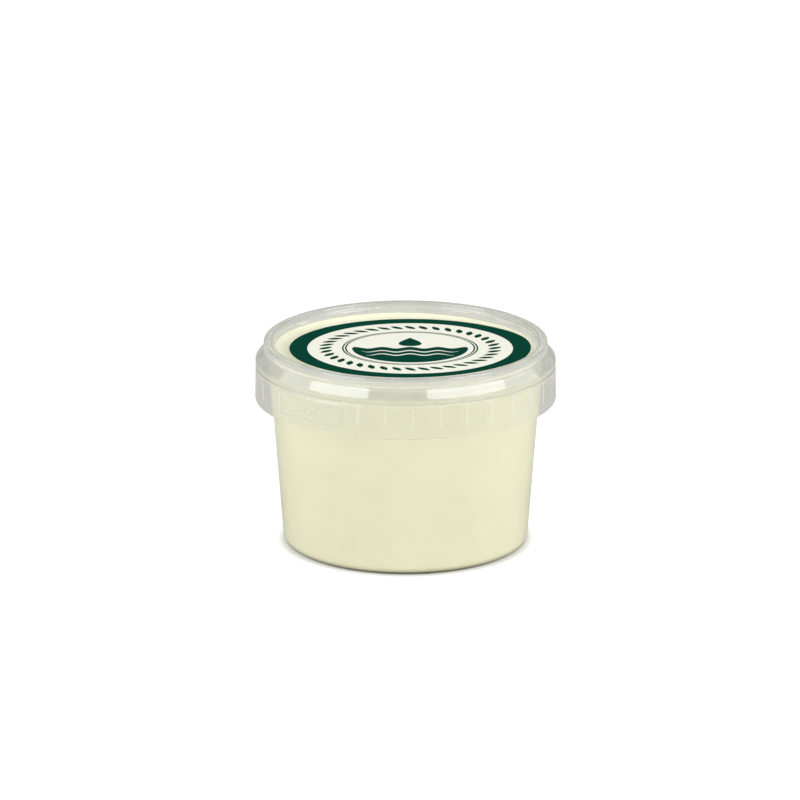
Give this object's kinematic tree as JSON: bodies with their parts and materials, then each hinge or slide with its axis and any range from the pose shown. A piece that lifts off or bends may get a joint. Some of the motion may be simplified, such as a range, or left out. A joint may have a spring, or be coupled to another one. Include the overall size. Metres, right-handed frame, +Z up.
{
  "type": "lidded tub of yogurt",
  "caption": "Round tapered tub of translucent plastic, full of pale yogurt, with a hanging ribbed collar, a tear tab and a snapped-on recessed lid that carries an oval paper label.",
  "frame": {"origin": "centre of the standing circle, on the plane that the tub stands on", "axes": "+Z up along the tub's axis, -Y towards the viewer of the picture, +X to the right in it"},
  "size_m": [0.113, 0.113, 0.0782],
  "materials": {
    "tub_polypropylene": "natural polypropylene, moulded, milky and see-through, soft gloss",
    "yogurt": "smooth pale cream food",
    "lid_polypropylene": "natural polypropylene, moulded, milky and see-through, glossy",
    "label_paper": "coated paper printed in dark green and cream, satin"
  },
  "bodies": {
    "root": {"tub": "tub_polypropylene", "yogurt": "yogurt", "lid": "lid_polypropylene", "label": "label_paper"}
  },
  "joints": []
}
